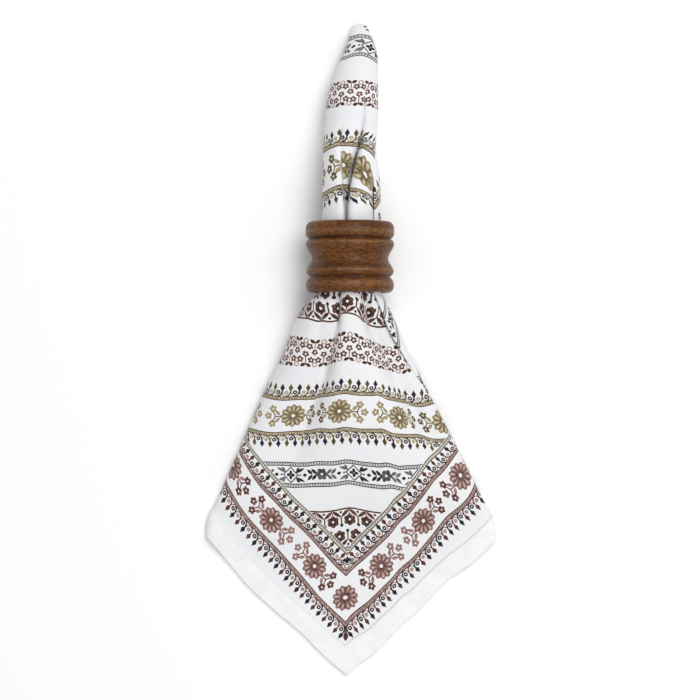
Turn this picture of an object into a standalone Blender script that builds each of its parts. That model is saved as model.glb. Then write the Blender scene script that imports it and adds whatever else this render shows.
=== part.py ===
"""A printed cotton napkin drawn through a turned wooden napkin ring, lying on its back on a table.

Blender script. Metres, +Z up, +Y towards the napkin's tip, origin on the table under the middle.
The napkin is folded in quarters, so four plies go together as one sheet, and that sheet is folded
in thirds: a front layer, the right wing turned under it, and the left wing turned under both.
Its centre is the tip above the ring, and its four corners lie together below it.
"""

import math
from collections import namedtuple

import bmesh
import bpy
import numpy as np

MM = 0.001

# Driving sizes, in millimetres.
PLIES_THICK = 1.4
LAYER_STEP = 1.8
TIP_Y = 171.5
CORNER_X, CORNER_Y = -2.3, -171.5
FOLD_END_Y = -93.0
FOLD_END_X = 75.5

RING_RADIUS = 22.85
RING_LENGTH = 36.6
RING_CENTRE_Y = 47.9
BORE_RADIUS = 16.5
BORE_GAP = 0.3
RIM_ROUND = 2.6
RING_TURN_STEPS = 48

# The cloth's cross-sections, from the tip down: its place along the length, its left and right
# outline, the height of its crown and of its underside, how high its side folds and its middle
# layer lie between those two, and how square it is (2 is an ellipse).
Section = namedtuple("Section", "y left right crown floor side inner square")
LAID = PLIES_THICK / 2
FLAT_CROWN = LAID + 2 * LAYER_STEP
IN_BORE = BORE_RADIUS - BORE_GAP - PLIES_THICK / 2
BORE_CROWN = RING_RADIUS + IN_BORE
BORE_FLOOR = RING_RADIUS - IN_BORE
RING_TOP_Y = RING_CENTRE_Y + RING_LENGTH / 2
RING_FOOT_Y = RING_CENTRE_Y - RING_LENGTH / 2
SECTIONS = (
    Section(TIP_Y, 1.8, 6.4, 4.6, LAID, 0.50, 0.50, 3.0),
    Section(169.0, 0.8, 8.6, 5.8, LAID, 0.50, 0.50, 2.8),
    Section(163.0, -0.8, 10.8, 9.8, LAID, 0.48, 0.46, 2.6),
    Section(153.5, -4.2, 13.2, 15.0, LAID, 0.44, 0.42, 2.4),
    Section(141.0, -8.4, 13.9, 21.0, LAID, 0.44, 0.38, 2.3),
    Section(128.5, -11.4, 14.0, 26.0, 1.2, 0.46, 0.36, 2.2),
    Section(116.0, -12.6, 13.5, 30.0, 2.2, 0.48, 0.36, 2.2),
    Section(100.0, -13.2, 13.5, 33.8, 4.2, 0.50, 0.36, 2.1),
    Section(84.0, -13.5, 14.9, 36.4, 6.2, 0.50, 0.36, 2.0),
    Section(RING_TOP_Y, -14.4, 15.1, BORE_CROWN - 0.4, BORE_FLOOR + 0.4, 0.50, 0.36, 2.0),
    Section(RING_CENTRE_Y, -IN_BORE, IN_BORE, BORE_CROWN, BORE_FLOOR, 0.50, 0.36, 2.0),
    Section(RING_FOOT_Y + 0.6, -IN_BORE, IN_BORE, BORE_CROWN, BORE_FLOOR, 0.50, 0.36, 2.0),
    Section(RING_FOOT_Y - 3.0, -18.6, 16.8, 38.0, 5.6, 0.42, 0.36, 2.0),
    Section(21.0, -24.2, 20.0, 37.0, 3.0, 0.32, 0.32, 2.0),
    Section(13.0, -28.6, 23.6, 35.2, 1.4, 0.24, 0.26, 2.0),
    Section(0.0, -33.6, 29.2, 31.6, LAID, 0.17, 0.21, 2.0),
    Section(-18.0, -42.4, 38.0, 27.2, LAID, 0.15, 0.19, 2.0),
    Section(-37.0, -50.8, 48.4, 23.0, LAID, 0.15, 0.19, 2.0),
    Section(-56.0, -59.0, 57.8, 17.8, LAID, 0.18, 0.23, 2.1),
    Section(-74.0, -66.8, 66.8, 12.0, LAID, 0.28, 0.34, 2.4),
    Section(FOLD_END_Y, -FOLD_END_X, FOLD_END_X, FLAT_CROWN, LAID, 0.50, 0.50, 16.0),
)

# The folds that run down the front: where each starts and ends, how wide it is there, and how
# far it stands up, or dips where the number is negative.
Fold = namedtuple("Fold", "x0 y0 x1 y1 wide0 wide1 high")
FRONT_FOLDS = (
    Fold(0.5, 118.0, -3.0, 46.0, 4.5, 1.8, -4.0),
    Fold(11.4, 112.0, 11.6, 64.0, 1.6, 1.2, -1.5),
    Fold(-4.8, 34.0, -24.0, -62.0, 2.2, 14.0, -6.5),
    Fold(6.4, 34.0, 48.0, -66.0, 2.2, 12.0, -8.0),
    Fold(-12.0, 30.0, -24.0, -20.0, 2.4, 6.0, -1.8),
)

# The cloth's mesh: stations down its length as (first, last, how many steps).
ROW_STRETCHES = (
    (TIP_Y, 141.0, 6),
    (141.0, RING_TOP_Y, 8),
    (RING_TOP_Y, RING_FOOT_Y + 0.6, 4),
    (RING_FOOT_Y + 0.6, 0.0, 6),
    (0.0, FOLD_END_Y, 9),
)
FRONT_COLUMNS = 29
WING_COLUMNS = 11
POINT_ROWS = 9
TRIM_START_Y = -78.0
WING_REACH = 0.82
WING_DROP = 7.0
OUTLINE_POINTS = 161

# The middle layer is gathered in waves where the ring squeezes it: (place along the length, height).
GATHER_WAVES = 2.5
GATHERS = (
    (TIP_Y, 0.0), (150.0, 0.6), (116.0, 2.6), (RING_TOP_Y, 4.2), (RING_FOOT_Y, 4.2),
    (0.0, 2.0), (-37.0, 0.4), (-60.0, 0.0), (FOLD_END_Y, 0.0),
)

# The ring's turned outline, from its tip end to its foot: along its axis, and radius.
RingPoint = namedtuple("RingPoint", "along radius")
FIRST_BEAD = RingPoint(12.3, RING_RADIUS)
FIRST_GROOVE = RingPoint(9.5, 21.0)
UPPER_BEAD = RingPoint(6.8, 22.7)
COVE = RingPoint(-0.7, 19.7)
LOWER_BEAD = RingPoint(-7.4, 22.55)
SECOND_GROOVE = RingPoint(-10.2, 20.65)
LAST_BEAD = RingPoint(-14.5, 22.7)


def clear_scene():
    for obj in list(bpy.data.objects):
        bpy.data.objects.remove(obj, do_unlink=True)


def plain_material(name, colour, roughness):
    material = bpy.data.materials.new(name)
    material.use_nodes = True
    shader = material.node_tree.nodes["Principled BSDF"]
    shader.inputs["Base Color"].default_value = (*colour, 1.0)
    shader.inputs["Roughness"].default_value = roughness
    shader.inputs["Metallic"].default_value = 0.0
    return material


def smooth_between(stations, values, at):
    """Values at the stations, joined by a smooth curve that doesn't overshoot. Stations fall."""
    x = -np.asarray(stations, float)
    v = np.asarray(values, float)
    gaps = np.diff(x)
    slopes = np.diff(v) / gaps
    tangents = np.zeros_like(v)
    tangents[0], tangents[-1] = slopes[0], slopes[-1]
    for i in range(1, len(v) - 1):
        if slopes[i - 1] * slopes[i] > 0:
            one, two = 2 * gaps[i] + gaps[i - 1], gaps[i] + 2 * gaps[i - 1]
            tangents[i] = (one + two) / (one / slopes[i - 1] + two / slopes[i])
    place = np.clip(-at, x[0], x[-1])
    i = int(np.clip(np.searchsorted(x, place) - 1, 0, len(gaps) - 1))
    t = (place - x[i]) / gaps[i]
    return (
        (1 + 2 * t) * (1 - t) ** 2 * v[i]
        + t * (1 - t) ** 2 * gaps[i] * tangents[i]
        + t * t * (3 - 2 * t) * v[i + 1]
        + t * t * (t - 1) * gaps[i] * tangents[i + 1]
    )


def section_at(y):
    stations = [section.y for section in SECTIONS]
    return Section(*(
        y if name == "y" else smooth_between(stations, [getattr(s, name) for s in SECTIONS], y)
        for name in Section._fields
    ))


def front_relief(x, y):
    """How far the folds raise or lower the front layer here."""
    height = 0.0
    for fold in FRONT_FOLDS:
        share = (fold.y0 - y) / (fold.y0 - fold.y1)
        if not 0 < share < 1:
            continue
        centre = fold.x0 + (fold.x1 - fold.x0) * share
        wide = fold.wide0 + (fold.wide1 - fold.wide0) * share
        fade = min(1.0, share / 0.12, (1 - share) / 0.45)
        fade = fade * fade * (3 - 2 * fade)
        height += fold.high * fade * math.exp(-(((x - centre) / wide) ** 2))
    return height


def rounded(angle, square):
    """The point of a unit superellipse at this angle."""
    c, s = math.cos(angle), math.sin(angle)
    power = 2.0 / square
    return math.copysign(abs(c) ** power, c), math.copysign(abs(s) ** power, s)


def spaced(points, shares):
    """The points at these shares of a polyline's length."""
    points = np.array(points)
    along = np.concatenate([[0], np.cumsum(np.linalg.norm(np.diff(points, axis=0), axis=1))])
    at = np.asarray(shares) * along[-1]
    return np.stack([np.interp(at, along, points[:, k]) for k in range(points.shape[1])], axis=1)


def crowded(count):
    """Shares from 0 to 1, closer together at both ends, where the side folds turn."""
    even = np.linspace(0, 1, count)
    return 0.45 * even + 0.55 * (1 - np.cos(math.pi * even)) / 2


def section_rows(y):
    """(left wing, front, right wing) of the section at y: points (x, z) in millimetres."""
    s = section_at(y)
    middle, wide = (s.left + s.right) / 2, (s.right - s.left) / 2
    height = s.crown - s.floor
    left_side = s.floor + s.side * height
    inner = s.floor + s.inner * height
    right_side = max(left_side, inner + LAYER_STEP / 2)
    waves = np.interp(-y, [-place for place, _ in GATHERS], [high for _, high in GATHERS])

    front = []
    for angle in np.linspace(math.pi, 0, OUTLINE_POINTS):
        c, up = rounded(angle, s.square)
        side = left_side + (right_side - left_side) * (1 + c) / 2
        x = middle + wide * c
        relief = front_relief(x, y) * (1 - abs(c) ** 6)
        front.append((x, side + (s.crown - side) * up + relief))
    left_wing = []
    for angle in np.linspace(math.pi, 2 * math.pi, OUTLINE_POINTS):
        c, up = rounded(angle, s.square)
        if c <= WING_REACH:
            left_wing.append((middle + wide * c, left_side + (left_side - s.floor) * up))
    right_wing = []
    for angle in np.linspace(0, -math.pi, OUTLINE_POINTS):
        c, up = rounded(angle, s.square)
        if c >= -WING_REACH:
            window = max(0.0, 1 - abs(c) ** 4)
            wave = waves * window * math.sin(math.pi * GATHER_WAVES * c)
            right_wing.append((middle + wide * c, right_side + (right_side - inner) * up + wave))
    return (
        spaced(left_wing, crowded(WING_COLUMNS))[::-1],
        spaced(front, crowded(FRONT_COLUMNS)),
        spaced(right_wing, crowded(WING_COLUMNS)),
    )


def stations():
    found = [ROW_STRETCHES[0][0]]
    for first, last, steps in ROW_STRETCHES:
        found += list(np.linspace(first, last, steps + 1)[1:])
    return found


def full_row(y):
    """One row of the cloth's grid: left wing, front and right wing, sharing their fold points."""
    left_wing, front, right_wing = section_rows(y)
    return np.concatenate([left_wing[:-1], front, right_wing[1:]])


def cloth_rows():
    """Rows of points (x, y, z) from the tip to where the side folds meet the napkin's edge."""
    rows = []
    last = len(full_row(0.0)) - 1
    for y in stations():
        trim = max(0.0, (TRIM_START_Y - y) / (TRIM_START_Y - FOLD_END_Y))
        row = []
        for i, (x, z) in enumerate(full_row(y)):
            wing = max(WING_COLUMNS - 1 - i, i - (last - WING_COLUMNS + 1), 0) / (WING_COLUMNS - 1)
            row.append((x, y - WING_DROP * wing * trim, z))
        rows.append(row)
    return rows


def point_rows(front_row):
    """Rows below the side folds, where only the front layer goes on to the napkin's corner."""
    rows = []
    for k in range(1, POINT_ROWS + 1):
        row = []
        for x, y, z in front_row:
            end_x = x + CORNER_X * (1 - abs(x) / FOLD_END_X)
            end_y = min(y, CORNER_Y + abs(end_x - CORNER_X))
            share = k / POINT_ROWS
            here = y + (end_y - y) * share
            down = min(1.0, (y - here) / 22.0)
            settled = z + (LAID - z) * down * down * (3 - 2 * down)
            row.append((x + (end_x - x) * share, here, settled))
        rows.append(row)
    return rows


def build_napkin(collection, material):
    mesh_data = bmesh.new()

    def add(row):
        return [mesh_data.verts.new([v * MM for v in point]) for point in row]

    def skin(upper, lower):
        for i in range(len(upper) - 1):
            mesh_data.faces.new((upper[i], upper[i + 1], lower[i + 1], lower[i]))

    rows = cloth_rows()
    grid = [add(row) for row in rows]
    for upper, lower in zip(grid, grid[1:]):
        skin(upper, lower)
    start, stop = WING_COLUMNS - 1, WING_COLUMNS - 1 + FRONT_COLUMNS
    above = grid[-1][start:stop]
    for row in point_rows(rows[-1][start:stop]):
        below = add(row)
        skin(above, below)
        above = below
    bmesh.ops.remove_doubles(mesh_data, verts=mesh_data.verts, dist=0.00002)
    mesh_data.normal_update()

    mesh = bpy.data.meshes.new("napkin")
    mesh_data.to_mesh(mesh)
    mesh_data.free()
    napkin = bpy.data.objects.new("napkin", mesh)
    collection.objects.link(napkin)
    mesh.materials.append(material)
    mesh.shade_smooth()
    thicken = napkin.modifiers.new("plies", "SOLIDIFY")
    thicken.thickness = PLIES_THICK * MM
    thicken.offset = 0.0
    return napkin


def eased(start, end, steps):
    """Points of an S-curve between two turned points, without the first: flat at both of them."""
    points = []
    for k in range(1, steps + 1):
        t = k / steps
        ease = (1 - math.cos(math.pi * t)) / 2
        points.append((
            start.along + (end.along - start.along) * t,
            start.radius + (end.radius - start.radius) * ease,
        ))
    return points


def arched(start, end, bulge, steps):
    """Points of a round shoulder from one turned point to another, without the first."""
    points = []
    for k in range(1, steps + 1):
        t = k / steps
        swell = bulge * math.sin(math.pi * t)
        points.append((
            start.along + (end.along - start.along) * t,
            start.radius + (end.radius - start.radius) * t + swell,
        ))
    return points


def rounded_rim(sign, outer, steps):
    """The rim at one end, from the outer shoulder over the end face to the bore."""
    half = RING_LENGTH / 2
    shoulder = 3.6
    points = []
    for k in range(steps + 1):
        angle = math.pi / 2 * k / steps
        points.append((
            sign * (half - shoulder * (1 - math.sin(angle))),
            outer - shoulder * (1 - math.cos(angle)),
        ))
    for k in range(steps + 1):
        angle = math.pi / 2 * k / steps
        points.append((
            sign * (half - RIM_ROUND * (1 - math.cos(angle))),
            BORE_RADIUS + RIM_ROUND * (1 - math.sin(angle)),
        ))
    return points


def ring_profile():
    """The ring's closed outline as (along, radius), down the outside and back up the bore."""
    top = rounded_rim(1, FIRST_BEAD.radius, 5)[::-1]
    foot = rounded_rim(-1, LAST_BEAD.radius, 5)
    outside = (
        [FIRST_BEAD]
        + arched(FIRST_BEAD, FIRST_GROOVE, 0.55, 4)
        + arched(FIRST_GROOVE, UPPER_BEAD, 0.45, 3)
        + eased(UPPER_BEAD, COVE, 6)
        + eased(COVE, LOWER_BEAD, 6)
        + arched(LOWER_BEAD, SECOND_GROOVE, 0.45, 3)
        + arched(SECOND_GROOVE, LAST_BEAD, 0.5, 4)
    )
    return top + outside + foot


def build_ring(collection, material):
    mesh = bpy.data.meshes.new("ring")
    profile = [(radius * MM, 0.0, along * MM) for along, radius in ring_profile()]
    count = len(profile)
    mesh.from_pydata(profile, [(i, (i + 1) % count) for i in range(count)], [])
    ring = bpy.data.objects.new("ring", mesh)
    collection.objects.link(ring)
    mesh.materials.append(material)
    turn = ring.modifiers.new("turn", "SCREW")
    turn.axis = "Z"
    turn.steps = turn.render_steps = RING_TURN_STEPS
    turn.use_merge_vertices = True
    turn.merge_threshold = 0.00001
    turn.use_smooth_shade = True
    ring.location = (0.0, RING_CENTRE_Y * MM, RING_RADIUS * MM)
    ring.rotation_euler = (-math.pi / 2, 0.0, 0.0)
    return ring


def main():
    clear_scene()
    collection = bpy.data.collections.new("napkin_in_ring")
    bpy.context.scene.collection.children.link(collection)
    cotton = plain_material("printed_cotton", (0.90, 0.90, 0.91), 0.85)
    wood = plain_material("turned_wood", (0.20, 0.09, 0.04), 0.45)
    build_napkin(collection, cotton)
    build_ring(collection, wood)


main()
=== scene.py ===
"""A block-printed cotton napkin drawn through a turned wooden napkin ring, lying on a pale table.

The frame gives the ring's size and place. The napkin is one square of cloth, folded in quarters,
then in thirds, and gathered through the ring, with its hem and its print laid on the cloth's own
flat coordinates. Sizes are in millimetres until a mesh is made.
"""

import math
from collections import namedtuple
from functools import reduce

import bmesh
import bpy
import numpy as np
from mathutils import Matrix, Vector


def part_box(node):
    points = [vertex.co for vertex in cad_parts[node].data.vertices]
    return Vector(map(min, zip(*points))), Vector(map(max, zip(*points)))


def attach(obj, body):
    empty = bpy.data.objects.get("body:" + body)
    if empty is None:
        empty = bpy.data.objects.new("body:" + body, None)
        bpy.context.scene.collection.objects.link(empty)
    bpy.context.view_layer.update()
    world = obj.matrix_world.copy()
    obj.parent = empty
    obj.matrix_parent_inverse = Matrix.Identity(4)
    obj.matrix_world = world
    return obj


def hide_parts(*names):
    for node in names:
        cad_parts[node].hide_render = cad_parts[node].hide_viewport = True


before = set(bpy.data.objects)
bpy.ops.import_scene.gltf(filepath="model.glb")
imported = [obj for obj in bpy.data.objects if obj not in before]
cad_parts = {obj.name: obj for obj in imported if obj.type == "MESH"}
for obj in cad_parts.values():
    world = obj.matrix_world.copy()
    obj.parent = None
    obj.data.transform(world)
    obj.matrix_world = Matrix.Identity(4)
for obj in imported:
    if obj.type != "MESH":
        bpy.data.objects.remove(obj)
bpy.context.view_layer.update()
RING_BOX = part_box("ring")

MM = 0.001

# The napkin, laid flat.
NAPKIN_SIDE = 508.0
HALF_SIDE = NAPKIN_SIDE / 2
HALF_DIAGONAL = HALF_SIDE * math.sqrt(2)
HEM_WIDE = 10.5
CLOTH_THICK = 0.32
HEM_THICK = 0.62

# How its plies and layers lie on each other.
PLY_PITCH = 0.40
HEM_PITCH = 0.66
LAYER_PITCH = 2.0
LAID = 1.5 * PLY_PITCH + CLOTH_THICK / 2
HEM_LAID = 1.5 * HEM_PITCH + HEM_THICK / 2
CREASE_REACH = 30.0

# The ring, from the frame.
RING_RADIUS = (RING_BOX[1][0] - RING_BOX[0][0]) / 2 / MM
RING_LENGTH = (RING_BOX[1][1] - RING_BOX[0][1]) / MM
RING_CENTRE_Y = (RING_BOX[1][1] + RING_BOX[0][1]) / 2 / MM
RING_TOP_Y = RING_CENTRE_Y + RING_LENGTH / 2
RING_FOOT_Y = RING_CENTRE_Y - RING_LENGTH / 2
CLOTH_IN_BORE = 15.2
BORE_CROWN = RING_RADIUS + CLOTH_IN_BORE
BORE_FLOOR = RING_RADIUS - CLOTH_IN_BORE

TIP_Y = 171.3
CORNER_Y = -171.5

# Cross-sections of the folded cloth from the tip down. left and right are the front layer's side
# folds, and back is how far the hindmost layer reaches on the right. side, rise and inner are how
# high the left side fold, the right one and the middle layer lie, as shares of the height from
# floor to crown. square is 2 for a round section and more for a boxy one, and wrap is how far the
# hindmost layer's edge curls up, in radians.
Section = namedtuple(
    "Section", "y left right back crown floor side rise inner square wrap", defaults=(2.0, 0.6)
)
SECTIONS = [Section(*row) for row in (
    (TIP_Y, 4.6, 4.6, 4.6, 3.2, 3.2, 0.50, 0.50, 0.50, 2.4, 0.0),
    (170.9, 2.0, 7.0, 7.2, 4.4, 2.2, 0.50, 0.50, 0.50, 2.4, 0.0),
    (169.5, 1.2, 8.8, 9.0, 6.0, 1.6, 0.46, 0.46, 0.48, 2.4, 0.0),
    (166.0, 0.2, 10.2, 10.6, 8.4, LAID, 0.42, 0.42, 0.46, 2.4, 0.1),
    (160.0, -1.2, 12.4, 12.7, 12.0, LAID, 0.38, 0.38, 0.42, 2.3, 0.2),
    (153.5, -3.8, 13.7, 13.9, 15.6, LAID, 0.36, 0.36, 0.40, 2.2, 0.3),
    (147.0, -6.6, 13.6, 13.8, 18.8, LAID, 0.36, 0.36, 0.38, 2.2, 0.4),
    (138.0, -9.2, 14.0, 13.9, 22.8, LAID, 0.38, 0.38, 0.36, 2.1, 0.5),
    (128.5, -11.4, 14.0, 13.7, 26.4, 1.0, 0.42, 0.42, 0.36, 2.0, 0.5),
    (116.0, -12.6, 13.5, 13.3, 30.2, 2.2, 0.46, 0.52, 0.36, 2.0, 0.55),
    (106.0, -13.1, 12.6, 12.9, 32.8, 3.4, 0.50, 0.62, 0.27),
    (98.0, -13.3, 11.9, 13.5, 34.4, 4.4, 0.50, 0.70, 0.22),
    (91.0, -13.4, 11.3, 14.4, 35.6, 5.4, 0.50, 0.72, 0.20),
    (82.0, -13.5, 11.2, 15.0, 36.5, 6.4, 0.50, 0.66, 0.26),
    (RING_TOP_Y, -13.9, 12.0, 15.2, BORE_CROWN - 0.2, BORE_FLOOR + 0.2, 0.50, 0.58, 0.36),
    (RING_CENTRE_Y, -14.6, 13.0, 15.2, BORE_CROWN, BORE_FLOOR, 0.50, 0.50, 0.36),
    (RING_FOOT_Y + 1, -15.0, 14.0, 15.2, BORE_CROWN, BORE_FLOOR, 0.50, 0.50, 0.36),
    (RING_FOOT_Y - 3, -18.4, 14.8, 16.9, 38.0, 5.6, 0.42, 0.42, 0.36),
    (22.0, -23.8, 16.9, 19.6, 37.0, 3.0, 0.32, 0.32, 0.30),
    (14.0, -28.2, 19.6, 23.4, 35.4, 1.4, 0.22, 0.22, 0.24),
    (0.0, -33.6, 26.8, 29.6, 31.6, LAID, 0.14, 0.14, 0.16, 2.0, 0.45),
    (-18.0, -42.4, 37.6, 38.4, 27.2, LAID, 0.12, 0.12, 0.11, 2.0, 0.2),
    (-37.0, -50.8, 48.2, 48.0, 23.0, LAID, 0.12, 0.12, 0.12, 2.0, 0.0),
    (-56.0, -59.0, 57.8, 57.0, 17.8, LAID, 0.14, 0.14, 0.15, 2.1, 0.0),
    (-74.0, -66.8, 66.8, 66.0, 12.0, LAID, 0.22, 0.22, 0.22, 2.4, 0.0),
    (-93.0, -74.4, 75.0, 74.5, 6.8, LAID, 0.42, 0.42, 0.42, 5.0, 0.0),
    (-112.0, -75.2, 76.0, 75.5, LAID + 2 * LAYER_PITCH, LAID, 0.50, 0.50, 0.50, 16.0, 0.0),
    (-185.0, -99.0, 99.0, 98.5, LAID + 2 * LAYER_PITCH, LAID, 0.50, 0.50, 0.50, 16.0, 0.0),
)]

# The gathers down the front, each a row of places down the cloth: where it is across, how wide its
# left and right sides are, and how deep it dents the cloth. One with steeper sides has a flatter
# bottom.
Dent = namedtuple("Dent", "y x left right deep")


def gather(steep, *rows):
    return steep, [Dent(*row) for row in rows]


GATHERS = (
    # Above the ring: a sunk panel that narrows to a deep crease, with a tuck down each side.
    gather(
        4.0,
        (118, 0.3, 6.0, 6.0, 0.0), (110, 0.3, 5.2, 5.2, 0.8), (103, 0.0, 4.4, 4.2, 2.4),
        (95, -1.0, 3.5, 3.6, 4.0), (87, -1.8, 2.4, 2.6, 5.0), (78, -1.9, 2.1, 2.1, 8.0),
        (70, -1.9, 1.7, 1.7, 9.5), (60, -1.9, 1.5, 1.5, 10.0), (40, -1.0, 1.6, 1.6, 4.0),
        (32, 0.0, 2.5, 2.5, 0.0),
    ),
    gather(
        1.8,
        (114, -4.3, 0.7, 0.7, 0.0), (107, -4.5, 0.7, 0.7, 1.6), (99, -4.6, 0.7, 0.7, 3.6),
        (92, -4.3, 0.7, 0.7, 4.2), (84, -3.7, 0.7, 0.7, 3.4), (76, -2.8, 0.7, 0.7, 1.6),
        (70, -2.2, 0.7, 0.7, 0.0),
    ),
    gather(
        1.8,
        (142, 8.0, 1.1, 1.1, 0.0), (128, 7.5, 1.1, 1.1, 1.8), (116, 6.6, 1.0, 1.0, 5.0),
        (107, 5.3, 1.4, 0.9, 10.0), (101, 4.1, 2.2, 0.8, 13.5), (94, 2.5, 2.6, 0.8, 15.5),
        (87.6, 0.8, 2.2, 0.8, 13.5), (81, -0.3, 1.2, 0.8, 9.0), (74, -1.3, 0.8, 0.8, 4.0),
        (68, -1.7, 0.8, 0.8, 0.0),
    ),
    # Below it: the valleys either side of the raised pleat.
    gather(
        1.5,
        (44, -5.0, 3.0, 1.5, 0.0), (30, -4.8, 3.5, 1.2, 5.0), (24, -4.9, 4.5, 1.1, 6.5),
        (16, -5.3, 6.0, 1.2, 7.5), (2.6, -8.7, 9.0, 2.4, 8.5), (-15.6, -13.5, 15.0, 4.0, 9.5),
        (-31, -20.0, 20.0, 6.5, 9.0), (-50, -27.0, 22.0, 9.0, 6.0), (-70, -34.0, 24.0, 12.0, 2.5),
        (-90, -40.0, 24.0, 14.0, 0.0),
    ),
    gather(
        1.5,
        (44, 5.5, 2.0, 3.0, 0.0), (30, 6.2, 1.3, 3.5, 6.0), (24, 7.2, 1.5, 4.0, 8.0),
        (12, 9.6, 2.4, 6.0, 9.5), (0, 17.0, 5.2, 10.0, 11.0), (-9, 21.0, 6.0, 12.0, 12.0),
        (-20, 26.0, 6.5, 14.0, 12.5), (-30, 31.5, 7.0, 14.0, 11.5), (-43, 40.0, 8.5, 14.0, 9.0),
        (-60, 47.0, 10.0, 14.0, 4.5), (-76, 52.0, 12.0, 14.0, 0.0),
    ),
    # A softer gather and a hollow at the left.
    gather(
        1.5,
        (44, -11.0, 2.0, 2.0, 0.0), (28, -11.8, 1.8, 1.8, 2.0), (15, -14.6, 2.6, 2.6, 2.6),
        (2.6, -17.0, 4.0, 4.0, 1.8), (-14, -22.0, 6.0, 6.0, 0.0),
    ),
)

# Where the napkin's own diagonal runs down the front: y and x.
DIAGONAL = (
    (172, 5.0), (160, 4.0), (140, 1.5), (120, -1.0), (95, -3.2), (80, -2.2), (60, -1.9),
    (30, -2.6), (10, -4.0), (-12, -5.0), (-33, -5.2), (-62, -3.8), (-106, -1.1), (-130, -2.2),
    (-171, -1.8), (-185, -1.8),
)
# The widest angle, on the flat stack, from the diagonal to a side fold.
WIDEST_TURN = math.radians(37)

# The front layer settles on the one below: how softly, and how squarely that ends at its side
# folds.
SETTLE_SOFT = 2.0
SETTLE_SQUARE = 6

# The wings: how high the left one's crown is, as a share of the front's, and how far across the
# section the right one reaches, where -1 is the left side fold.
LEFT_WING_CROWN = 0.92
RIGHT_WING_REACH = -0.9

# How far each wing has slid down under the front, against where it would lie on a flat stack, the
# slope of its hem across the napkin, and the length over which the front sinks past that hem.
LEFT_WING_SLID = 2.0
RIGHT_WING_SLID = 10.0
WING_HEM_SLOPE = math.tan(math.radians(15))
SINK_LENGTH = 20.0

# Slack: how far the cloth lags down the front, by how far out it is from the diagonal (-1 is the
# left side fold, 1 the right one).
SLACK_AT = (-1.0, -0.66, -0.33, -0.16, 0.0, 0.16, 0.33, 0.66, 1.0)
SLACK = (
    (168.0, (0.0, 0.0, 0.0, 0.0, 0.0, 0.0, 0.0, 0.0, 0.0)),
    (154.0, (-1.0, 0.5, 1.7, 1.2, 1.0, 0.5, 0.8, 1.5, 0.0)),
    (133.0, (-4.5, -2.0, 0.0, 0.2, 0.6, 0.4, -1.0, -2.9, -7.5)),
    (105.0, (-2.5, -0.2, 0.1, -0.5, -0.2, -0.7, -2.4, -2.4, -6.0)),
    (84.0, (-0.2, 2.1, 1.5, 0.4, 0.7, 1.5, 2.6, 3.2, 2.4)),
    (70.0, (1.2, 1.7, 1.7, 1.2, 1.3, 5.3, 7.0, 3.7, 1.7)),
    (52.0, (1.4, 1.4, 1.4, 1.4, 1.5, 3.2, 5.2, 4.0, 2.5)),
    (17.0, (1.4, 2.7, 4.5, 3.8, 0.9, 4.2, 10.5, 8.5, 3.5)),
    (0.0, (3.9, 4.0, 6.1, 3.8, 1.8, 4.4, 9.8, 11.0, 5.2)),
    (-24.0, (4.5, 4.7, 5.4, 2.2, 0.6, 3.8, 6.2, 10.0, 6.4)),
    (-44.0, (3.5, 3.8, 4.0, 0.5, 0.3, 3.4, 5.6, 8.9, 8.7)),
    (-62.0, (0.0, 1.5, 3.2, 0.4, 0.2, 4.0, 6.8, 7.2, 5.5)),
    (-84.0, (1.5, 1.5, 2.3, 1.0, 0.0, 4.5, 7.7, 7.7, 10.0)),
    (-106.0, (1.4, 3.0, 2.8, 1.6, 1.3, 5.2, 9.0, 9.0, 8.4)),
    (-130.0, (2.7, 3.2, 3.0, 1.2, -0.2, 5.9, 8.9, 6.9, 4.0)),
    (-150.0, (1.0, 1.5, 1.5, 0.5, 0.0, 6.6, 7.6, 6.0, 4.0)),
)

# How finely the folds are worked out: steps down the cloth, points across each layer and along
# each arc, steps out from the napkin's centre, and how far past its corner they go.
SECTION_STEP = 1.0
SECTION_POINTS = 241
ARC_POINTS = 1201
REACH_STEP = 0.5
PAST_CORNER = 6.0
NEAR_CENTRE = 3.0
ANGLE_SMOOTHINGS = 12
REACH_ROUNDS = 12


def smooth_through(places, values, at):
    """A smooth curve through the values that never overshoots. Places rise; at may be an array."""
    x, v = np.asarray(places, float), np.asarray(values, float)
    at = np.clip(at, x[0], x[-1])
    gaps = np.diff(x)
    slopes = np.diff(v) / gaps
    tangents = np.zeros_like(v)
    tangents[0], tangents[-1] = slopes[0], slopes[-1]
    for i in range(1, len(v) - 1):
        if slopes[i - 1] * slopes[i] > 0:
            one, two = 2 * gaps[i] + gaps[i - 1], gaps[i] + 2 * gaps[i - 1]
            tangents[i] = (one + two) / (one / slopes[i - 1] + two / slopes[i])
    i = np.clip(np.searchsorted(x, at, side="right") - 1, 0, len(gaps) - 1)
    t = (at - x[i]) / gaps[i]
    return (
        (1 + 2 * t) * (1 - t) ** 2 * v[i]
        + t * (1 - t) ** 2 * gaps[i] * tangents[i]
        + t * t * (3 - 2 * t) * v[i + 1]
        + t * t * (t - 1) * gaps[i] * tangents[i + 1]
    )


def eased(value, low, high):
    """0 at low, 1 at high, and smooth between."""
    t = np.clip((value - low) / (high - low), 0, 1)
    return t * t * (3 - 2 * t)


def table_column(rows, name):
    return [getattr(row, name) for row in rows]


def section_at(y):
    """The cross-section at this place, between the listed ones."""
    rows = SECTIONS[::-1]
    ys = table_column(rows, "y")
    return Section(y, *(
        float(smooth_through(ys, table_column(rows, name), y)) for name in Section._fields[1:]
    ))


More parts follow.
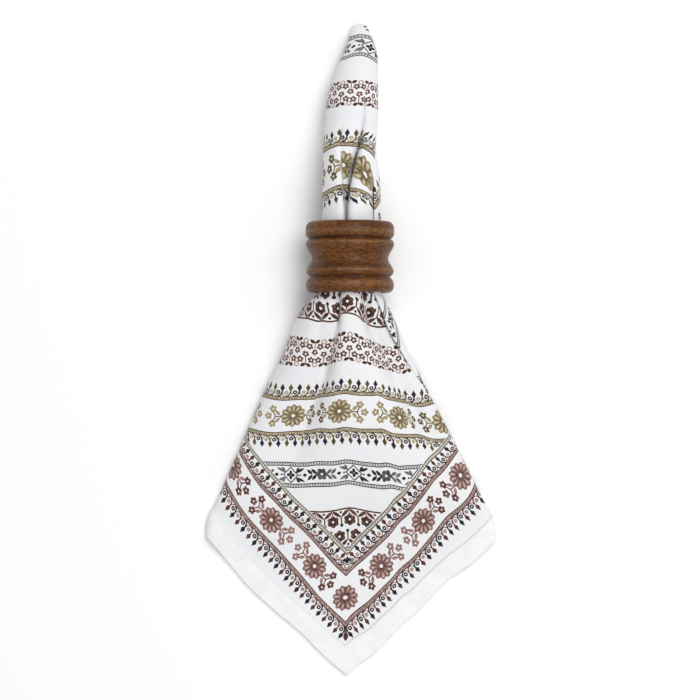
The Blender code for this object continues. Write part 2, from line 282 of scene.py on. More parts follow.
def dent_at(x, y):
    """How far the gathers dent the front layer at these places across it."""
    deep = np.zeros_like(x)
    for steep, dents in GATHERS:
        rows = dents[::-1]
        ys = table_column(rows, "y")
        if not ys[0] < y < ys[-1]:
            continue
        centre, left, right, most = (
            float(smooth_through(ys, table_column(rows, name), y)) for name in Dent._fields[1:]
        )
        away = np.where(x < centre, (centre - x) / left, (x - centre) / right)
        deep += most * np.exp(-(away ** steep))
    return deep


def superellipse(angles, square):
    """Places round a unit circle that is drawn out into its corners as square rises over 2."""
    c, s = np.cos(angles), np.sin(angles)
    power = 2 / square
    return np.sign(c) * np.abs(c) ** power, np.sign(s) * np.abs(s) ** power


def evenly_along(x, z, count, split_at=None):
    """Points the same distance apart along a curve, or along each part of one split at an x."""
    points = np.stack([x, z], axis=1)
    steps = np.linalg.norm(np.diff(points, axis=0), axis=1)
    along = np.concatenate([[0], np.cumsum(steps)])
    if split_at is None:
        at = np.linspace(0, along[-1], count)
    else:
        split = np.interp(split_at, x, along)
        half = count // 2 + 1
        at = np.concatenate([
            np.linspace(0, split, half), np.linspace(split, along[-1], half)[1:]
        ])
    return np.stack([np.interp(at, along, points[:, k]) for k in (0, 1)], axis=1)


def softly_most(one, other):
    """The larger of the two, with the change from one to the other rounded off."""
    return (one + other + np.sqrt((one - other) ** 2 + SETTLE_SOFT ** 2)) / 2


def cross_section(y):
    """The section's curve, from the left wing's free edge over the front to the right wing's."""
    s = section_at(y)
    middle, wide = (s.left + s.right) / 2, (s.right - s.left) / 2
    back_middle, back_wide = (s.left + s.back) / 2, (s.back - s.left) / 2
    height = s.crown - s.floor
    left_side = s.floor + s.side * height
    inner = s.floor + s.inner * height
    right_side = max(s.floor + s.rise * height, inner + LAYER_PITCH / 2)

    c, up = superellipse(np.linspace(math.pi, 0, ARC_POINTS), s.square)
    side = left_side + (right_side - left_side) * (1 + c) / 2
    x = middle + wide * c
    inner_share = 1 - np.abs(c) ** SETTLE_SQUARE
    arch = (s.crown - side) * up
    lowest = (inner + LAYER_PITCH - side) * inner_share
    dented = arch - dent_at(x, y) * inner_share
    lifted = softly_most(dented, lowest)
    settled = np.minimum(arch, dented + (lifted - dented) * inner_share)
    ys, xs = zip(*DIAGONAL[::-1])
    diagonal = float(smooth_through(ys, xs, y))
    front = evenly_along(x, side + settled, SECTION_POINTS, diagonal)

    c, up = superellipse(np.linspace(2 * math.pi + s.wrap, math.pi, ARC_POINTS), s.square)
    reach = np.where(up < 0, left_side - s.floor, (s.crown - left_side) * LEFT_WING_CROWN)
    left_wing = evenly_along(back_middle + back_wide * c, left_side + reach * up, SECTION_POINTS)

    c, up = superellipse(np.linspace(0, -math.pi, ARC_POINTS), s.square)
    kept = c > RIGHT_WING_REACH
    right_wing = evenly_along(
        middle + wide * c[kept], right_side + (right_side - inner) * up[kept], SECTION_POINTS
    )
    return np.concatenate([left_wing[:-1], front, right_wing[1:]])


def section_curves():
    """Places on the folded stack: a row for each section from the tip down, all as many."""
    near_tip = TIP_Y - np.array([0, 0.1, 0.25, 0.5, 0.8, 1.2, 1.7, 2.3, 3.0, 4.0, 5.0, 6.0])
    ys = np.concatenate([near_tip, np.arange(TIP_Y - 7.0, SECTIONS[-1].y, -SECTION_STEP)])
    curves = [cross_section(y) for y in ys]
    return ys, np.array([
        np.column_stack([curve[:, 0], np.full(len(curve), y), curve[:, 1]])
        for y, curve in zip(ys, curves)
    ])


def slack(ys, count):
    """How far the cloth lags at each of these places down it, and at each turn across it."""
    rows = SLACK[::-1]
    turns = np.clip(np.linspace(-3, 3, count), -1, 1)
    at_rows = np.stack([smooth_through(SLACK_AT, row[1], turns) for row in rows])
    row_ys = [row[0] for row in rows]
    return np.stack([smooth_through(row_ys, at_rows[:, j], ys) for j in range(count)], axis=1)


def cloth_reach(ys, places):
    """How far the cloth at each of these places is from the napkin's centre, along the cloth."""
    count = places.shape[1]
    steps = np.linalg.norm(np.diff(places, axis=0), axis=2)
    reach = np.concatenate([np.zeros((1, count)), np.cumsum(steps, axis=0)])
    at_corner = np.interp(-CORNER_Y, -ys, reach[:, count // 2])
    reach *= HALF_DIAGONAL / at_corner
    reach -= slack(ys, count)
    return np.maximum.accumulate(reach, axis=0)


def evened(angles):
    """The side folds' angles from the diagonal, kept in bounds and smoothed down the cloth."""
    angles = np.minimum(angles, WIDEST_TURN)
    for _ in range(ANGLE_SMOOTHINGS):
        angles[1:-1] = (angles[:-2] + 2 * angles[1:-1] + angles[2:]) / 4
    return angles


class FoldedCloth:
    """Where each place of the folded stack is: by its distance from the napkin's centre, and by
    its turn, which is -1 to 1 across the front, on to 3 across the right wing and back to -3
    across the left one."""

    def __init__(self):
        ys, places = section_curves()
        reach = cloth_reach(ys, places)
        self.measure_side_folds(places, reach)
        self.fill_tables(places, reach)

    def measure_side_folds(self, places, reach):
        across = np.linalg.norm(np.diff(places, axis=1), axis=2)
        centre = places.shape[1] // 2
        first, last = centre - SECTION_POINTS // 2, centre + SECTION_POINTS // 2
        self.fold_reaches = reach[:, centre]
        out = np.maximum(self.fold_reaches, NEAR_CENTRE)
        self.left_folds = evened(across[:, first:centre].sum(axis=1) / out)
        self.right_folds = evened(across[:, centre:last].sum(axis=1) / out)

    def fill_tables(self, places, reach):
        """Places and normals, a row for each even step out from the napkin's centre."""
        self.reaches = np.arange(0, HALF_DIAGONAL + PAST_CORNER, REACH_STEP)
        self.places = np.stack([
            np.stack([
                np.interp(self.reaches, reach[:, j], places[:, j, k]) for k in range(3)
            ], axis=1)
            for j in range(places.shape[1])
        ], axis=1)
        normals = np.cross(np.gradient(self.places, axis=0), np.gradient(self.places, axis=1))
        size = np.linalg.norm(normals, axis=2, keepdims=True)
        self.normals = normals / np.maximum(size, 1e-9)

    def fold_angle(self, reach, right):
        """The angle from the front diagonal to the right or the left side fold."""
        left = np.interp(reach, self.fold_reaches, self.left_folds)
        return np.where(right, np.interp(reach, self.fold_reaches, self.right_folds), left)

    def angle_of(self, turn, reach):
        """The angle from the front diagonal, on the flat stack, of a place with this turn."""
        fold = self.fold_angle(reach, turn > 0)
        size = np.abs(turn)
        wing = fold + (size - 1) / 2 * (math.pi / 4 - fold)
        return np.sign(turn) * np.where(size < 1, size * fold, wing)

    def turn_of(self, angle, reach):
        fold = self.fold_angle(reach, angle > 0)
        size = np.abs(angle)
        wing = 1 + 2 * (size - fold) / (math.pi / 4 - fold)
        return np.sign(angle) * np.where(size < fold, size / fold, wing)

    def looked_up(self, table, reach, turn):
        """What the table of places or normals holds there, between its own points."""
        r = np.clip(reach / REACH_STEP, 0, len(self.reaches) - 1.001)
        t = np.clip((turn + 3) / 6 * (table.shape[1] - 1), 0, table.shape[1] - 1.001)
        i, j = r.astype(int), t.astype(int)
        u, v = (r - i)[..., None], (t - j)[..., None]
        upper = table[i, j] * (1 - v) + table[i, j + 1] * v
        lower = table[i + 1, j] * (1 - v) + table[i + 1, j + 1] * v
        return upper * (1 - u) + lower * u


def spread_turns(front, wing):
    """Turns from -3 to 3, closer together at the side folds and at the quarter folds."""
    by_side_fold = np.array([0.006, 0.014, 0.026, 0.045, 0.075, 0.12, 0.18])
    by_quarter_fold = 3 - np.array([0.004, 0.012, 0.03, 0.07, 0.14])
    fixed = [[0.0, 1.0, 3.0], 1 - by_side_fold, 1 + by_side_fold, by_quarter_fold]
    fixed = set(np.round(np.concatenate(fixed), 6))
    spread = np.concatenate([
        np.linspace(0, 1, front // 2, endpoint=False), 1 + np.linspace(0, 2, wing, endpoint=False)
    ])
    spread = set(np.round(spread, 6)) - fixed
    least_gap = 0.7 * min(1 / front, 1 / wing)
    apart = {t for t in spread if min(abs(t - f) for f in fixed) > least_gap}
    half = sorted(fixed | apart)
    return np.concatenate([-np.array(half[:0:-1]), half])


def napkin_lines():
    """The cloth's rings of points, as distances in from its edge, from the edge to its centre."""
    hem = [0.0, 0.35, 1.0, 2.5, 4.5, 6.5, 8.5]
    seam = [HEM_WIDE + v for v in (-0.55, -0.2, 0.2, 1.2)]
    field = list(np.arange(14.5, HALF_SIDE - 8, 3.0))
    centre = [HALF_SIDE - v for v in (6.0, 4.0, 2.6, 1.6, 0.9, 0.4)]
    return np.array(hem + seam + field + centre)


def hem_share(edge_in):
    """1 on the hem and 0 inside its seam."""
    return 1 - eased(edge_in, HEM_WIDE - 0.3, HEM_WIDE + 0.3)


def wing_support(across, along, side):
    """1 where the wing folded in from that side lies under this place, easing to 0 past it."""
    corner_along = HALF_DIAGONAL / (1 + WING_HEM_SLOPE)
    corner_across = HALF_DIAGONAL - corner_along
    slid = RIGHT_WING_SLID if side > 0 else LEFT_WING_SLID
    edge = corner_along + slid - (corner_across - side * across) * WING_HEM_SLOPE
    return 1 - eased(along - edge, -1.0, SINK_LENGTH)


def cloth_points(cloth, signs, turns, edge_in):
    """Flat places and folded places of one quarter of the napkin, edge_in from its edge. A turn's
    angle and how far out it meets a line depend on each other, so they are found in rounds."""
    turn, inset = np.meshgrid(turns, edge_in)
    reach = HALF_SIDE - inset
    for _ in range(REACH_ROUNDS):
        angle = cloth.angle_of(turn, reach)
        reach = (HALF_SIDE - inset) / np.cos(math.pi / 4 - np.abs(angle))
    u = reach * np.cos(math.pi / 4 - angle)
    v = reach * np.sin(math.pi / 4 - angle)
    return fold_places(cloth, u * signs[0], v * signs[1], inset)


def quarter_folded(u, v, pitch):
    """Where flat places lie once the napkin is folded in quarters, with each crease a round turn
    as wide as the plies it holds: distances from its two creases, and from the stack's middle."""
    tight = np.minimum(1.0, np.hypot(u, v) / CREASE_REACH)
    v_round = 0.5 * pitch * tight + 1e-6
    v_side = v / np.hypot(v, v_round)
    u_round = pitch * (1 + 0.5 * v_side) * tight + 1e-6
    u_side = u / np.hypot(u, u_round)
    ply = u_side * (1 + 0.5 * v_side)
    return np.hypot(u, u_round) - u_round, np.hypot(v, v_round) - v_round, ply * pitch * tight


def layers_missing(cloth, turn, angle, reach):
    """How many of the layers that usually lie under this place stop short of it."""
    fold = cloth.fold_angle(reach, turn > 0)
    folded = np.where(np.abs(angle) < fold, angle, np.sign(angle) * 2 * fold - angle)
    across, along = reach * np.sin(folded), reach * np.cos(folded)
    over_left = wing_support(across, along, -1)
    over_right = wing_support(across, along, 1)
    missing = np.where(turn > 1, 1 - over_left, 2 - over_left - over_right)
    return np.where(turn < -1, 1 - over_right, missing)


def fold_places(cloth, u, v, inset):
    """Flat places, and where they lie once the stack is folded in thirds and gathered."""
    hem = hem_share(inset)
    pitch = PLY_PITCH + (HEM_PITCH - PLY_PITCH) * hem
    p, q, spread = quarter_folded(u, v, pitch)
    reach = np.hypot(p, q)
    angle = np.arctan2(p - q, p + q)
    turn = cloth.turn_of(angle, reach)
    place = cloth.looked_up(cloth.places, reach, turn)
    normal = cloth.looked_up(cloth.normals, reach, turn)
    normal /= np.linalg.norm(normal, axis=-1, keepdims=True)

    height = np.clip((place[..., 2] - LAID) / LAYER_PITCH, 0, 1)
    point = place + normal * spread[..., None]
    point[..., 2] -= LAYER_PITCH * layers_missing(cloth, turn, angle, reach) * height
    point[..., 2] += (HEM_LAID - LAID) * hem
    return u, v, point


def napkin_grid(cloth):
    """Closed rings of points round the napkin's centre: flat places (u, v) and folded places. The
    quarters follow each other round it, from the front ply to the hindmost one."""
    edge_in = napkin_lines()
    quarters = (
        ((1, 1), spread_turns(64, 34)),
        ((1, -1), spread_turns(26, 18)[::-1]),
        ((-1, -1), spread_turns(26, 18)),
        ((-1, 1), spread_turns(44, 26)[::-1]),
    )
    parts = [cloth_points(cloth, signs, turns, edge_in) for signs, turns in quarters]
    u, v, point = (np.concatenate([part[k][:, :-1] for part in parts], axis=1) for k in range(3))
    return edge_in, u, v, point


def cloth_mesh(cloth):
    """The folded sheet without its thickness, with its flat places as its UV map."""
    edge_in, u, v, point = napkin_grid(cloth)
    lines, count = u.shape
    mesh = bmesh.new()
    uv = mesh.loops.layers.uv.new("flat")
    hem_layer = mesh.verts.layers.deform.new()
    verts = [[mesh.verts.new(point[i, j] * MM) for j in range(count)] for i in range(lines)]
    flat = {}
    for i in range(lines):
        for j in range(count):
            flat[verts[i][j]] = (u[i, j], v[i, j])
            verts[i][j][hem_layer][0] = float(hem_share(edge_in[i]))
    middle = mesh.verts.new(point[-1].mean(axis=0) * MM)
    flat[middle] = (0.0, 0.0)
    for i in range(lines - 1):
        for j in range(count):
            k = (j + 1) % count
            mesh.faces.new((verts[i][j], verts[i + 1][j], verts[i + 1][k], verts[i][k]))
    for j in range(count):
        mesh.faces.new((verts[-1][j], middle, verts[-1][(j + 1) % count]))
    for face in mesh.faces:
        face.smooth = True
        for loop in face.loops:
            a, b = flat[loop.vert]
            loop[uv].uv = (a / NAPKIN_SIDE + 0.5, b / NAPKIN_SIDE + 0.5)
    mesh.normal_update()
    front = max(mesh.faces, key=lambda f: f.calc_center_median().z)
    if front.normal.z < 0:
        bmesh.ops.reverse_faces(mesh, faces=mesh.faces)
    data = bpy.data.meshes.new("napkin_cloth")
    mesh.to_mesh(data)
    mesh.free()
    return data


def make_napkin(cloth):
    """The folded sheet, thickened, with a thicker hem."""
    napkin = bpy.data.objects.new("napkin_cloth", cloth_mesh(cloth))
    bpy.context.scene.collection.objects.link(napkin)
    napkin.vertex_groups.new(name="hem")
    thicken = napkin.modifiers.new("cloth", "SOLIDIFY")
    thicken.thickness = HEM_THICK * MM
    thicken.offset = 0.0
    thicken.vertex_group = "hem"
    thicken.thickness_vertex_group = CLOTH_THICK / HEM_THICK
    bpy.context.view_layer.objects.active = napkin
    napkin.select_set(True)
    bpy.ops.object.modifier_apply(modifier=thicken.name)
    return napkin


class Worth:
    """A number worked out at every place on a surface. Arithmetic on it adds nodes."""

    def __init__(self, tree, socket):
        self.tree, self.socket = tree, socket

    def work(self, operation, *others, clamp=False):
        node = self.tree.nodes.new("ShaderNodeMath")
        node.operation, node.use_clamp = operation, clamp
        for socket, value in zip(node.inputs, (self, *others)):
            feed(socket, value)
        return Worth(self.tree, node.outputs[0])

    def __add__(self, other):
        return self.work("ADD", other)

    __radd__ = __add__

    def __sub__(self, other):
        return self.work("SUBTRACT", other)

    def __rsub__(self, other):
        return self.work("MULTIPLY_ADD", -1.0, other)

    def __mul__(self, other):
        return self.work("MULTIPLY", other)

    def __abs__(self):
        return self.work("ABSOLUTE")

    def least(self, other):
        return self.work("MINIMUM", other)

    def most(self, other):
        return self.work("MAXIMUM", other)

    def clamped(self):
        """This, but never under 0 or over 1."""
        return self.work("ADD", 0.0, clamp=True)

    def over(self, limit):
        """1 where this is more than the limit, 0 where it is not."""
        return self.work("GREATER_THAN", limit)

    def repeated(self, half_period):
        """Distance from the nearest of a row of places twice half_period apart."""
        return self.work("PINGPONG", half_period)

    def wrapped(self, period):
        """How far this is past the last of a row of places a period apart."""
        return self.work("FLOORED_MODULO", period)

    def where(self, flag, other):
        """The other value where the flag is 1, this one where it is 0."""
        return flag.work("MULTIPLY_ADD", other - self, self)

    def within(self, limit, soft=None):
        """1 inside the limit, softening to 0 just past it."""
        soft = soft or PRINT_SOFT
        if isinstance(limit, Worth):
            return (limit - self).work("MULTIPLY_ADD", 1 / soft, 0.5, clamp=True)
        return self.work("MULTIPLY_ADD", -1 / soft, limit / soft + 0.5, clamp=True)

    def past(self, limit, soft=None):
        """0 inside the limit, rising softly to 1 just past it."""
        soft = soft or PRINT_SOFT
        return self.work("MULTIPLY_ADD", 1 / soft, 0.5 - limit / soft, clamp=True)


Flower = namedtuple("Flower", "shape petal away")


class Spot:
    """A place on the flat cloth, worked out at every place on a surface."""

    def __init__(self, tree, socket):
        self.tree, self.socket = tree, socket

    @classmethod
    def of(cls, across, up):
        node = across.tree.nodes.new("ShaderNodeCombineXYZ")
        feed(node.inputs[0], across)
        feed(node.inputs[1], up)
        return cls(across.tree, node.outputs[0])

    def work(self, operation, other, output=0):
        node = self.tree.nodes.new("ShaderNodeVectorMath")
        node.operation = operation
        feed(node.inputs[0], self)
        feed(node.inputs[1], other if isinstance(other, Spot) else (*other, 0.0))
        return node.outputs[output]

    def away_from(self, place):
        return Worth(self.tree, self.work("DISTANCE", place, 1))

    def from_place(self, place):
        return Spot(self.tree, self.work("SUBTRACT", place))

    def toward(self, way):
        return Worth(self.tree, self.work("DOT_PRODUCT", way, 1))

    def parts(self):
        node = self.tree.nodes.new("ShaderNodeSeparateXYZ")
        feed(node.inputs[0], self)
        return Worth(self.tree, node.outputs[0]), Worth(self.tree, node.outputs[1])

    def disc(self, place, radius):
        return self.away_from(place).within(radius)

    def hoop(self, place, radius, half_wide):
        return abs(self.away_from(place) - radius).within(half_wide)

    def along_stroke(self, start, end):
        """How far along the stroke the nearest place on it is, 0 to 1, and how far off that is."""
        length = math.dist(start, end)
        way = ((end[0] - start[0]) / length ** 2, (end[1] - start[1]) / length ** 2)
        shifted = self.from_place(start)
        share = shifted.toward(way).clamped()
        node = self.tree.nodes.new("ShaderNodeVectorMath")
        node.operation = "SCALE"
        node.inputs[0].default_value = (end[0] - start[0], end[1] - start[1], 0.0)
        feed(node.inputs["Scale"], share)
        return share, shifted.away_from(Spot(self.tree, node.outputs[0]))

    def stroke(self, start, end, half_wide):
        return self.along_stroke(start, end)[1].within(half_wide)

    def leaf(self, start, end, half_wide):
        """A pointed leaf from start to end."""
        share, off = self.along_stroke(start, end)
        swell = (share * (1.0 - share)) * (4 * half_wide)
        return off.within(swell)

    def flower(self, place, petals, radius, depth, eye, upright=False):
        """A flower with a round eye. Its petal is 1 along the middle of each petal and 0 between
        two; upright puts the first petal straight up instead of to the right."""
        shifted = self.from_place(place)
        across, up = shifted.parts()
        first, second = (across, up) if upright else (up, across)
        petal = abs((first.work("ARCTAN2", second) * (petals / 2)).work("COSINE"))
        outline = petal.work("MULTIPLY_ADD", radius * depth, radius * (1 - depth))
        away = shifted.away_from((0.0, 0.0))
        return Flower(away.within(outline) * away.past(eye), petal, away)


def feed(socket, value):
    if isinstance(value, (Worth, Spot)):
        value.tree.links.new(value.socket, socket)
    else:
        socket.default_value = value


def most_of(worths):
    return reduce(Worth.most, worths)


def new_material(name):
    material = bpy.data.materials.new(name)
    material.use_nodes = True
    return material, material.node_tree, material.node_tree.nodes["Principled BSDF"]


def cloudy(tree, place, scale, detail, rough, kind="3D"):
    """Soft noise about 0.5, read at this place."""
    node = tree.nodes.new("ShaderNodeTexNoise")
    node.noise_dimensions = kind
    tree.links.new(place, node.inputs["Vector"])
    node.inputs["Scale"].default_value = scale
    node.inputs["Detail"].default_value = detail
    node.inputs["Roughness"].default_value = rough
    return Worth(tree, node.outputs["Fac"])


def mixed(share, first, second):
    """The first colour where the share is 0, the second one where it is 1."""
    tree = share.tree
    node = tree.nodes.new("ShaderNodeMix")
    node.data_type = "RGBA"
    feed(node.inputs[0], share)
    for socket, value in ((node.inputs[6], first), (node.inputs[7], second)):
        if isinstance(value, tuple):
            socket.default_value = (*value, 1.0)
        else:
            tree.links.new(value, socket)
    return node.outputs[2]


def raise_surface(shader, height, strength, distance):
    bump = height.tree.nodes.new("ShaderNodeBump")
    bump.inputs["Strength"].default_value = strength
    bump.inputs["Distance"].default_value = distance
    feed(bump.inputs["Height"], height)
    height.tree.links.new(bump.outputs[0], shader.inputs["Normal"])


def linear(red, green, blue):
    """A colour given as it looks on a screen, from 0 to 255, as the renderer wants it."""
    return tuple(
        v / 12.92 if v <= 0.04045 else ((v + 0.055) / 1.055) ** 2.4
        for v in (red / 255, green / 255, blue / 255)
    )


COTTON = linear(236, 236, 238)
COTTON_SHADE = linear(230, 231, 234)
HEM_COTTON = linear(243, 243, 241)
THREAD = linear(226, 224, 228)
BORDER_PALE = linear(172, 138, 130)
BORDER_DEEP = linear(74, 42, 38)
GOLD_PALE = linear(184, 168, 132)
GOLD_DEEP = linear(78, 64, 36)
RUST_PALE = linear(170, 126, 108)
RUST_DEEP = linear(60, 36, 27)
GREY_PALE = linear(150, 147, 148)
GREY_DEEP = linear(46, 43, 46)
INK_BLACK = linear(34, 34, 40)

# The weave's pitch, the stitches' pitch, place in from the edge and half width, and how far in
# the hem is paler.
WEAVE_PITCH = 0.62
STITCH_PITCH = 2.6
STITCH_IN = 9.3
STITCH_HALF = 0.3
HEM_PALE_TO = 9.8

# How softly a printed edge ends, and how softly one colour or row gives way to the next.
PRINT_SOFT = 0.3
SHARP = 0.1

# How much ink it takes to show, to turn deep and to turn black, each with its softness.
INK_SHOWS = (0.19, 0.34)
INK_DEEPENS = (0.62, 0.75)
BLACK_SHOWS = (0.4, 0.7)

# Where the print lies on the flat cloth. Border places are measured in from the edge; bands are
# measured along the diagonal from the napkin's centre. The border's frame bows, and lies nearest
# the edge at its corners.
BORDER_CENTRE = 28.4
BORDER_ROPE = 9.75
BORDER_INK_TO = 45.0
GOLD_ROPE_IN = 46.6
FIELD_FROM = 48.1
FRAME_BOW = 0.075
FRAME_BOW_MOST = 6.5
NEAR_SET_ENDS = 133.0

# The bands, in the set nearest the napkin's centre and in the next one out.
GREY_CENTRE = (16.2, 121.6, 249.6)
SPRIG_CENTRE = (45.9, 180.8)
GOLD_CENTRE = (85.1, 215.9)
GOLD_ROPE = (10.5, 10.1)
GOLD_INK_HALF = 22.0
GREY_INK_HALF = 8.6
ARCADE_LINE = (163.8, 270.0)
BETWEEN_ARCADES = 200.0

# Rows of rosettes: the gap from one to the next in the border, the shift of the row on one side
# of each corner against the other, where the row ends, and the corner's own rosette. In the gold
# bands the rosettes are narrower, in the far one lower too, and its row is drawn in by the folds:
# past a start on the right, or under one on the left, over a length and by so much.
BORDER_GAP = 33.58
BORDER_SHIFT = 1.7
BORDER_ROW_ENDS = 218.3
CORNER_ROSETTE = 225.1
ROSETTE_RADIUS = 6.9
CORNER_SPRIG_JUMP = 12.0
GOLD_GAP = 33.2
GOLD_NARROW = 0.95
FAR_GOLD_LOWER = 0.05
DrawnIn = namedtuple("DrawnIn", "start over by")
DRAWN_RIGHT = DrawnIn(40.0, 9.0, 4.5)
DRAWN_LEFT = DrawnIn(-14.0, 12.0, 4.2)

# Ropes: a row of beads between two lines. Outside each rope of a vine hangs a row of drops and
# rings.
ROPE_HALF = 1.05
ROPE_INK_HALF = 1.15
ROPE_LINE = 0.92
ROPE_BEAD_HALF_GAP = 0.72
GREY_ROPE = 5.85
DROP_GAP = 4.375
DROP_SHIFT = 3.4
DROP_MIDDLE = 4.7
DROP_RING = (2.19, 2.2)
DROPS_END = 7.6
DROP_ROW_ENDS = 238.6

# Half the gap between like motifs in the grey bands, sprig bands and arcades, the shift of the
# grey bands' row, how far the sprigs' feet are from their band's middle, and an arcade's depth.
GREY_GAP = 17.25
GREY_SHIFT = 6.0
SPRIG_GAP = 4.6
SPRIG_FOOT = 7.3
ARCH_GAP = 4.4
ARCADE_DEEP = 20.4

# What one block prints: coloured ink, and black ink or none.
Stamp = namedtuple("Stamp", "ink black", defaults=(None,))


class FlatPlace:
    """Where each place on the cloth is on the flat napkin. hem_in is in from its edge, edge_in is
    the same less the frame's bow, and along_edge is along the edge from its middle. out is along
    the quarter's diagonal from the napkin's centre, and sideways is across it."""

    def __init__(self, tree):
        uv = tree.nodes.new("ShaderNodeUVMap")
        uv.uv_map = "flat"
        to_size = tree.nodes.new("ShaderNodeVectorMath")
        to_size.operation = "MULTIPLY_ADD"
        tree.links.new(uv.outputs[0], to_size.inputs[0])
        to_size.inputs[1].default_value = (NAPKIN_SIDE, NAPKIN_SIDE, 0.0)
        to_size.inputs[2].default_value = (-HALF_SIDE, -HALF_SIDE, 0.0)
        self.spot = Spot(tree, to_size.outputs[0])
        self.right, self.up = self.spot.parts()
        across, down = abs(self.right), abs(self.up)
        self.hem_in = HALF_SIDE - across.most(down)
        self.along_edge = across.least(down)
        bow = (abs(across - down) * FRAME_BOW).least(FRAME_BOW_MOST)
        self.edge_in = self.hem_in - bow
        self.out = (across + down) * math.sqrt(0.5)
        self.sideways = (across - down) * math.sqrt(0.5)
        self.middle = Spot.of(self.sideways, self.out)

        # field is 1 inside the border, and far_set is 1 in the outer set of bands.
        self.field = self.edge_in.over(FIELD_FROM)
        self.far_set = self.out.over(NEAR_SET_ENDS)
        self.along = self.along_edge.where(self.field, self.sideways)
        self.from_grey = abs(self.out - GREY_CENTRE[0])
        for centre in GREY_CENTRE[1:]:
            self.from_grey = self.from_grey.least(abs(self.out - centre))
        self.from_gold = abs(self.out - self.by_set(GOLD_CENTRE))

        # from_middle is from the middle of the border or the gold band, where the rosettes are.
        self.from_middle = abs(self.edge_in - BORDER_CENTRE).where(self.field, self.from_gold)
        rope_shift = (self.by_set(GOLD_ROPE) - BORDER_ROPE) * self.field
        self.rope_at = rope_shift + BORDER_ROPE
        self.past_rope = self.from_middle - (self.rope_at + ROPE_HALF)

    def by_set(self, near_and_far):
        """The first value in the set of bands nearest the centre, the second one in the next."""
        near, far = near_and_far
        return self.far_set * (far - near) + near


def rosette_rows(lay):
    """Rosettes between two ropes, with sprigs from one to the next. No sprig grows from the
    corner's own rosette."""
    to_corner = abs(lay.along_edge - CORNER_ROSETTE)
    to_corner = to_corner + to_corner.over(ROSETTE_RADIUS + 0.1) * CORNER_SPRIG_JUMP
    border = lay.along_edge + lay.sideways.over(0.0) * BORDER_SHIFT + BORDER_SHIFT
    border_row = border.repeated(BORDER_GAP / 2).where(border.over(BORDER_ROW_ENDS), to_corner)
    from_right = lay.sideways.past(DRAWN_RIGHT.start, DRAWN_RIGHT.over) * DRAWN_RIGHT.by
    from_left = lay.sideways.within(DRAWN_LEFT.start, DRAWN_LEFT.over) * DRAWN_LEFT.by
    gold = (lay.sideways + lay.far_set * (from_right - from_left)) * (1 / GOLD_NARROW)
    row = border_row.where(lay.field, gold.repeated(GOLD_GAP / 2))
    light_side = border.wrapped(2 * BORDER_GAP).over(BORDER_GAP).where(
        lay.field, gold.wrapped(2 * GOLD_GAP).within(GOLD_GAP, SHARP)
    )
    height = 1.0 - lay.far_set * lay.field * FAR_GOLD_LOWER
    vine = Spot.of(row, lay.from_middle.work("DIVIDE", height))

    rosette = vine.flower((0.0, 0.0), 12, ROSETTE_RADIUS, 0.17, 1.0)
    streak = rosette.petal.past(0.72, 0.3) * rosette.away.past(3.2, 1.2)
    streak = streak * rosette.away.within(5.9, 1.0)
    gap = rosette.petal.within(0.3, 0.4) * rosette.away.past(1.4, 0.6)
    core = rosette.away.within(2.5, 1.2)
    stalk = vine.stroke((6.4, 0.0), (9.8, 0.0), 0.3)
    branch = vine.stroke((9.6, 0.1), (11.0, 3.0), 0.28)
    side_bloom, end_bloom = (
        vine.flower(place, 5, 2.2, 0.34, 0.5).shape for place in ((11.1, 4.3), (13.6, 0.0))
    )
    ink = most_of([
        rosette.shape * (0.64 + gap * 0.28 + core * 0.14 - streak * 0.36),
        stalk.most(branch) * 0.95,
        vine.leaf((7.0, 0.7), (9.6, 3.5), 0.9) * 0.5,
        side_bloom.most(end_bloom) * (0.9 - light_side * 0.42),
    ])
    return Stamp(ink * lay.from_middle.within(lay.rope_at - 1.2))


def ropes(lay):
    """Ropes of beads, beside the rosettes and the grey bands and inside the border."""
    vine_rope = abs(lay.past_rope + ROPE_HALF)
    other_rope = abs(lay.edge_in - GOLD_ROPE_IN).where(lay.field, abs(lay.from_grey - GREY_ROPE))
    in_rope = vine_rope.least(other_rope)
    inside = in_rope.within(ROPE_INK_HALF)
    bead = Spot.of(lay.along.repeated(ROPE_BEAD_HALF_GAP), in_rope).disc((0.0, 0.0), 0.34)
    edge = abs(in_rope - ROPE_LINE).within(0.28)
    fill = vine_rope.within(ROPE_INK_HALF) * 0.2 + inside * 0.12
    ink = fill.most(edge * 1.2).most(bead * 0.9)
    return Stamp(ink * inside, edge.most(bead) * 0.42 * inside)


